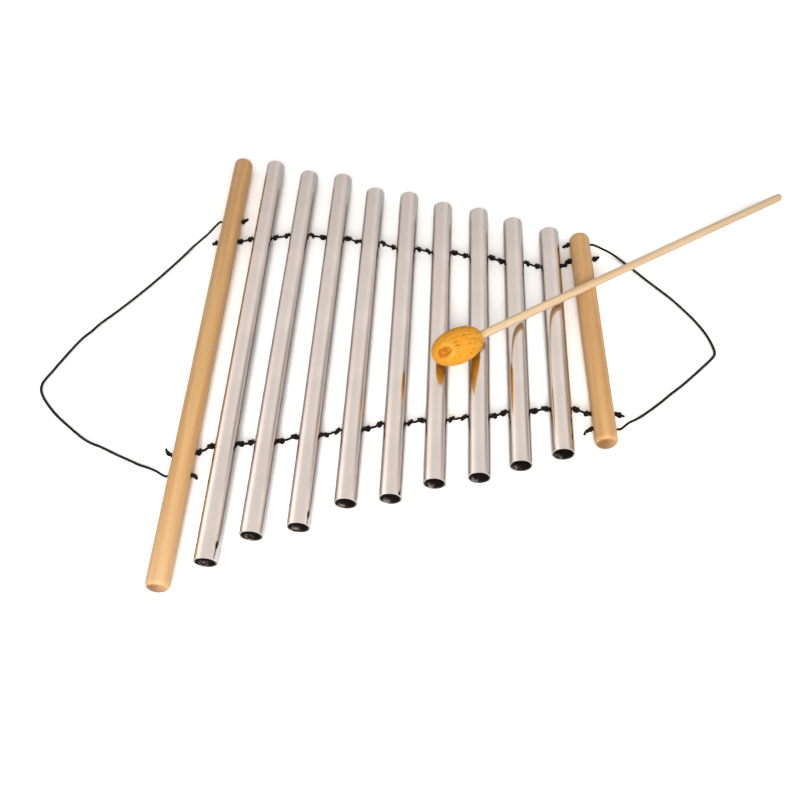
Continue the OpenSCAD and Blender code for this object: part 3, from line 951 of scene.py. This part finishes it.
def winding_line(yarn, loops, top, start, step):
    """One long yarn round the head, lengthwise, each loop a little turned from the last and
    wider or narrower round the poles, so that the strands cross at both ends. Later loops lie
    higher, up to top, a depth in thicknesses of the yarn."""
    s = start + np.arange(loops * LOOP_POINTS + 1) / LOOP_POINTS
    turn = 2 * math.pi * s
    spin = math.pi * s * LOOP_TURN
    wider = 0.5 - 0.5 * np.cos(2 * math.pi * s * OPEN_RATE)
    open_angle = np.radians(OPEN_ANGLE + OPEN_MORE * wider)
    # A great circle that passes each pole at the open angle, turned by the spin about X
    x = -np.cos(turn) * np.cos(open_angle)
    y = np.sin(turn)
    z = np.cos(turn) * np.sin(open_angle)
    way = np.column_stack(
        [x, y * np.cos(spin) - z * np.sin(spin), y * np.sin(spin) + z * np.cos(spin)]
    )
    share = (s - start) / loops
    # The yarn also rises and sinks a little along its way, at uneven steps
    depth = top + 0.4 * (1 - share) ** 1.2 + 0.05 * np.sin(17.0 * s + 3 * np.sin(5.1 * s))
    return placed(evenly(head_point(yarn, way, yarn.thickness * depth), step))


def around(pole, angle, turn):
    """A direction from the head's middle, at an angle from the direction pole and turned
    about it, in degrees."""
    pole = unit(np.array(pole, float))
    side = unit(np.cross(pole, (0, 0, 1)))
    rise = np.cross(side, pole)
    a, t = math.radians(angle), math.radians(turn)
    return math.cos(a) * pole + math.sin(a) * (math.cos(t) * side + math.sin(t) * rise)


def stitch(yarn, pole, first, last, lift, steps=14):
    """A short stitch over the head between two places, each given as its angle from the pole
    and its turn, raised in the middle by lift, in thicknesses of the yarn."""
    t = np.linspace(0, 1, steps)[:, None]
    way = (1 - t) * around(pole, *first) + t * around(pole, *last)
    way = way / np.linalg.norm(way, axis=1)[:, None]
    bow = np.sin(math.pi * t[:, 0])
    rise = yarn.thickness * (lift * bow**0.6 - 0.6 * (1 - bow**0.3))
    return placed(head_point(yarn, way, -rise))


def over_pole(yarn, chance, angle=20, sweep=155, count=9):
    """The last arcs of the winding, which cross the hole that its loops leave at the tip."""
    return [
        stitch(yarn, TIP_POLE, (angle, t), (angle, t + sweep + chance.uniform(-12, 12)), 0.1)
        for t in range(0, 360, 360 // count)
    ]


def tip_stitches(yarn, chance, angle=19, sweep=140, count=13):
    """The star of stitches at the tip, deep-coloured with painted shade."""
    lines = []
    for k in range(count):
        turn = 360 / count * k + chance.uniform(-8, 8)
        first = (angle + chance.uniform(-3, 3), turn)
        last = (angle + chance.uniform(-3, 3), turn + sweep + chance.uniform(-18, 18))
        lines.append(stitch(yarn, TIP_CROWN, first, last, 0.55))
    return lines


def neck_stitches(yarn, chance, outer=29, inner=25, sweep=11, strands_at_tip=3):
    """The stitches round the neck, and some strands that bow round the tip's star, both pale
    with painted highlight.
    """
    lines = []
    for turn in range(40, 300, 20):
        first = (outer + chance.uniform(-2, 2), turn)
        last = (inner + chance.uniform(-2, 2), turn + sweep)
        lines.append(stitch(yarn, NECK_CROWN, first, last, 0.5, 9))
    for k in range(strands_at_tip):
        turns = np.linspace(35 + 6 * k, 205 - 5 * k, 20)
        way = np.array([around(TIP_CROWN, 22 + 3.2 * k, turn) for turn in turns])
        lines.append(placed(head_point(yarn, way, -0.25 * yarn.thickness)))
    return lines


# The stage


def floor_mesh():
    points, faces = [(0, 0, -FLOOR_DROP)], []
    for i in range(1, FLOOR_RINGS + 1):
        r = FLOOR_RADIUS * i / FLOOR_RINGS
        for j in range(FLOOR_SPOKES):
            a = 2 * math.pi * j / FLOOR_SPOKES
            points.append((r * math.cos(a), r * math.sin(a), -FLOOR_DROP))
    for j in range(FLOOR_SPOKES):
        n = (j + 1) % FLOOR_SPOKES
        faces.append((0, 1 + j, 1 + n))
        for i in range(FLOOR_RINGS - 1):
            b = 1 + i * FLOOR_SPOKES
            faces.append((b + j, b + FLOOR_SPOKES + j, b + FLOOR_SPOKES + n, b + n))
    mesh = bpy.data.meshes.new("floor")
    mesh.from_pydata(points, [], faces)
    return mesh


def white_paper(settings):
    """White paper that keeps the object's shadow, and looks white to the camera and in the
    metal."""
    material, w, surface, where = new_material("white_paper")
    nodes = material.node_tree.nodes
    nodes.remove(surface)
    fibres = w.group("fibres", fibres_group, where, Fibres_per_Metre=900.0).outputs
    tone = w.mix(fibres["Mask"], dimmed(settings.floor, 0.99), settings.floor)
    ray = w.add("ShaderNodeLightPath").outputs
    mirrored = w.math("MAXIMUM", ray["Is Glossy Ray"], ray["Is Transmission Ray"])
    # The gain grows from the object outwards, up to the edge of the floor
    far = w.vector("LENGTH", {0: where}).outputs["Value"]
    more = settings.floor_gain - 1
    for_camera = w.stretch(far, 0.40, 1.5, more, 5 * more)
    for_mirror = w.stretch(far, 0.40, 1.5, 0.08, 1.2)
    gain = w.math("MULTIPLY_ADD", ray["Is Camera Ray"], for_camera, 1.0)
    gain = w.math("MULTIPLY_ADD", mirrored, for_mirror, gain)
    # The contact shade under whatever touches the floor
    contact = w.add(
        "ShaderNodeAmbientOcclusion", {"Distance": 5 * MM}, samples=6
    ).outputs["AO"]
    gain = w.times(gain, w.stretch(contact, 0.25, 0.95, 0.50, 1.0))
    matte = w.add(
        "ShaderNodeBsdfDiffuse", {"Color": w.vector("SCALE", {0: tone, "Scale": gain})}
    )
    w.feed(nodes["Material Output"], {"Surface": matte})
    return material


def add_lamp(scene, name, place, aim, size, power, colour):
    data = bpy.data.lights.new(name, "AREA")
    data.energy = power
    data.shape = "RECTANGLE"
    data.size, data.size_y = size
    data.color = colour
    lamp = bpy.data.objects.new(name, data)
    scene.collection.objects.link(lamp)
    lamp.location = place
    lamp.rotation_euler = (Vector(aim) - Vector(place)).to_track_quat("-Z", "Y").to_euler()
    lamp.visible_glossy = False


def mirrored_room(w):
    """The brightness of the room that the metal mirrors: a plain bright one with a broad
    screen at the left, a narrow one at the right and a dimmer far wall. Each step depends on
    the way towards +Y, and on the roll about it from straight up, in degrees."""
    x, y, z = w.parts(w.add("ShaderNodeTexCoord").outputs["Generated"])
    roll = w.times(w.math("ARCTAN2", x, z), 180 / math.pi)

    def hill(centre, width):
        """A smooth hill of height 1 over the roll."""
        t = w.math("DIVIDE", w.math("SUBTRACT", roll, centre), width)
        return w.math("EXPONENT", w.times(t, t, -1.0))

    plain = w.stretch(y, 0.64, 0.74, 0.86, 0.67)
    bulge = w.times(hill(34.0, 25.0), w.stretch(y, 0.47, 0.56, 0.0, 0.11))
    left = w.times(hill(-67.0, 26.0), w.stretch(y, 0.43, 0.63, 0.58, 0.0))
    right_at = w.math("MULTIPLY_ADD", y, -740.0, 402.0)
    right = w.times(hill(right_at, 13.0), w.stretch(y, 0.42, 0.50, 0.52, 0.0))
    total = w.math("ADD", w.math("ADD", plain, bulge), w.math("ADD", left, right))
    # The dark stripe at the right, and a slight one at the far left
    dark_from = w.stretch(y, 0.44, 0.52, 82.0, 42.0)
    dark_to = w.math(
        "ADD", w.stretch(y, 0.44, 0.50, 98.0, 73.0), w.stretch(y, 0.60, 0.67, 0.0, 34.0)
    )
    darkest = w.stretch(y, 0.60, 0.67, 0.44, 0.76)
    dark = w.stretch(roll, dark_from, dark_to, 1.0, darkest)
    return w.times(total, dark, w.stretch(roll, -100.0, -78.0, 0.85, 1.0))


def studio_world(settings):
    """Even light all round, white to the camera, and for the metal a room to mirror."""
    world = bpy.data.worlds.new("studio")
    world.use_nodes = True
    w = Wiring(world.node_tree)
    nodes = world.node_tree.nodes
    nodes.remove(nodes["Background"])
    white, even, room = (
        w.add("ShaderNodeBackground", {"Color": (*colour, 1), "Strength": strength})
        for colour, strength in (
            ((1, 1, 1), 1.0), ((1.0, 0.995, 0.985), settings.sky),
            ((1.044, 0.976, 0.935), mirrored_room(w)),
        )
    )
    ray = w.add("ShaderNodeLightPath").outputs
    unseen = w.add("ShaderNodeMixShader", {0: ray["Is Glossy Ray"], 1: even, 2: room})
    seen = w.add("ShaderNodeMixShader", {0: ray["Is Camera Ray"], 1: unseen, 2: white})
    w.feed(nodes["World Output"], {"Surface": seen})
    return world


# Operators


class CHIMES_OT_camera(bpy.types.Operator):
    """Sets the camera at the height and turn of the photograph"""

    bl_idname = "chimes.camera"
    bl_label = "Camera"

    def execute(self, context):
        data = bpy.data.cameras.new("camera")
        data.lens = CAMERA_LENS
        data.sensor_width = CAMERA_SENSOR
        camera = bpy.data.objects.new("camera", data)
        context.scene.collection.objects.link(camera)
        axes = Matrix(CAMERA_AXES).transposed()
        camera.matrix_world = Matrix.Translation(CAMERA_AT) @ axes.to_4x4()
        context.scene.camera = camera
        return {"FINISHED"}


class CHIMES_OT_hanging_loops(bpy.types.Operator):
    """Ties the two hanging loops into their rods"""

    bl_idname = "chimes.hanging_loops"
    bl_label = "Hanging loops"

    def execute(self, context):
        cord = context.scene.chime_cord
        for rod, (body, route, length, seed) in LOOPS.items():
            line = loop_line(rod, route, cord)
            loop = cord_piece(f"{body}_cord", [line], cord)
            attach(loop, body)
            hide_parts(body.replace("loop", "hanging_loop"))
            chance = np.random.default_rng(seed)
            ends = [loop_end_line(rod, side, cord, chance) for side in (1, -1)]
            knots = cord_piece(f"{body}_knots", ends, cord)
            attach(knots, rod)
            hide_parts(f"{body}_ends")
        return {"FINISHED"}


class CHIMES_OT_stringing(bpy.types.Operator):
    """Strings the bars on the two knotted cords"""

    bl_idname = "chimes.stringing"
    bl_label = "Stringing cords"

    def execute(self, context):
        cord = context.scene.chime_cord
        chance = np.random.default_rng(STRING_SEED)
        last = len(BARS) - 1
        for k in range(last):
            left, right = BARS[k], BARS[k + 1]
            lines = [string_line(k, side, cord, chance) for side in (1, -1)]
            piece = cord_piece(f"string_{left}_to_{right}", lines, cord)
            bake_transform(piece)
            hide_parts("cord_" + left, "cord_" + right)
        for k in (0, last):
            lines = [string_end_line(k, side, cord, chance) for side in (1, -1)]
            piece = cord_piece(f"string_ends_{BARS[k]}", lines, cord)
            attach(piece, BARS[k])
            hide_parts("cord_" + BARS[k])
        return {"FINISHED"}


class CHIMES_OT_tubes(bpy.types.Operator):
    """Polishes the nine tubes and leaves their bores dull"""

    bl_idname = "chimes.tubes"
    bl_label = "Tubes"

    def execute(self, context):
        for bar in BARS[1:-1]:
            paint(bar, tube_finish(bar, context.scene.chime_tubes))
        return {"FINISHED"}


class CHIMES_OT_rods(bpy.types.Operator):
    """Gives the two rods their wood"""

    bl_idname = "chimes.rods"
    bl_label = "Wooden rods"

    def execute(self, context):
        wood = context.scene.chime_wood
        # The long rod has painted light at its near end
        for rod, seed, painted_near_light in (("long_rod", 2.0, 0.28), ("short_rod", 9.0, 0.0)):
            paint(rod, wood_finish(
                "wood_" + rod, (wood.rod_light, wood.rod_dark), middle_of(rod),
                (0, 0, math.radians(LIE_ANGLES[rod])), ROD_HALVES[rod], end_depth=2.2 * MM,
                streaks=190.0, seed=seed, painted_near_light=painted_near_light,
            ))
        return {"FINISHED"}


class CHIMES_OT_mallet(bpy.types.Operator):
    """Winds the mallet's head with yarn, sews it at both ends, and gives the stick its wood"""

    bl_idname = "chimes.mallet"
    bl_label = "Mallet"

    def execute(self, context):
        self.wind(context.scene.chime_yarn)
        self.paint_stick(context.scene.chime_wood)
        paint("mallet_core", core_finish())
        return {"FINISHED"}

    def wind(self, yarn):
        chance = np.random.default_rng(STITCH_SEED)
        outer = [winding_line(yarn, yarn.loops, 0.0, 0.0, 0.75 * MM), *over_pole(yarn, chance)]
        inner = [winding_line(yarn, UNDER_LOOPS, UNDER_DEPTH, UNDER_START, 1.05 * MM)]
        thick, thin = yarn.thickness, 0.72 * yarn.thickness
        plain = yarn_finish("yarn", yarn.light, yarn.dark)
        # A darker copy of the yarn, painted shade, for the tip's star
        deep = yarn_finish("yarn_deep", (0.74, 0.25, 0.015), (0.52, 0.14, 0.008))
        # A lighter copy of the yarn, painted highlight, for the neck's stitches and the strands
        # round the star
        pale = yarn_finish("yarn_pale", (1.0, 0.60, 0.12), (1.0, 0.47, 0.05))
        tip, neck = tip_stitches(yarn, chance), neck_stitches(yarn, chance)
        head, under, star, ring = (
            strands(f"mallet_{name}", lines, material, thickness, twist)
            for name, lines, material, thickness, twist in (
                ("yarn", outer, plain, thick, OUTER_TWIST),
                ("yarn_under", inner, plain, thick, UNDER_TWIST),
                ("tip_stitches", tip, deep, thin, STITCH_TWIST),
                ("neck_stitches", neck, pale, thin, STITCH_TWIST),
            )
        )
        fuzz = grown("mallet_fuzz", head, fuzz_tree("fuzz"), {"Material": plain})
        for piece in (head, under, star, ring, fuzz):
            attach(piece, "mallet")
        for piece in (head, under):
            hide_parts("mallet_winding")

    def paint_stick(self, wood):
        centre = mallet_place() @ Vector((STICK_REACH / 2, 0, 0))
        turn = mallet_place().to_3x3() @ Matrix.Rotation(math.radians(-90), 3, "Z")
        paint("mallet_stick", wood_finish(
            "stick_wood", (wood.stick_light, wood.stick_dark), centre,
            turn.inverted().to_euler(), STICK_REACH / 2, end_depth=1.2 * MM,
            streaks=320.0, seed=4.0,
        ))


class CHIMES_OT_stage(bpy.types.Operator):
    """Lays the white floor and sets the soft light"""

    bl_idname = "chimes.stage"
    bl_label = "Floor and light"

    def execute(self, context):
        scene = context.scene
        settings = scene.chime_stage
        floor = bpy.data.objects.new("floor", floor_mesh())
        scene.collection.objects.link(floor)
        floor.data.materials.append(white_paper(settings))
        for name, setting, place, aim, size, colour in LAMPS:
            add_lamp(scene, name, place, aim, size, getattr(settings, setting), colour)
        scene.world = studio_world(settings)
        scene.view_settings.view_transform = "Standard"
        return {"FINISHED"}


OPERATORS = (
    CHIMES_OT_camera,
    CHIMES_OT_hanging_loops,
    CHIMES_OT_stringing,
    CHIMES_OT_tubes,
    CHIMES_OT_rods,
    CHIMES_OT_mallet,
    CHIMES_OT_stage,
)


class CHIMES_PT_panel(bpy.types.Panel):
    """The steps that dress the bar chimes, in order"""

    bl_idname = "CHIMES_PT_panel"
    bl_label = "Bar Chimes"
    bl_space_type = "VIEW_3D"
    bl_region_type = "UI"
    bl_category = "Chimes"

    def draw(self, context):
        layout = self.layout
        for name, group in SETTINGS.items():
            box = layout.box()
            box.label(text=group.__doc__)
            for prop in group.__annotations__:
                box.prop(getattr(context.scene, name), prop)
        for operator in OPERATORS:
            layout.operator(operator.bl_idname)


CLASSES = (*SETTINGS.values(), *OPERATORS, CHIMES_PT_panel)


def register():
    for c in CLASSES:
        bpy.utils.register_class(c)
    for name, group in SETTINGS.items():
        setattr(bpy.types.Scene, name, bpy.props.PointerProperty(type=group))


def unregister():
    for name in SETTINGS:
        delattr(bpy.types.Scene, name)
    for c in reversed(CLASSES):
        bpy.utils.unregister_class(c)


def main():
    register()
    for operator in OPERATORS:
        group, name = operator.bl_idname.split(".")
        result = getattr(getattr(bpy.ops, group), name)()
        if result != {"FINISHED"}:
            raise RuntimeError(f"{operator.bl_label} didn't finish")


if __name__ == "__main__":
    main()
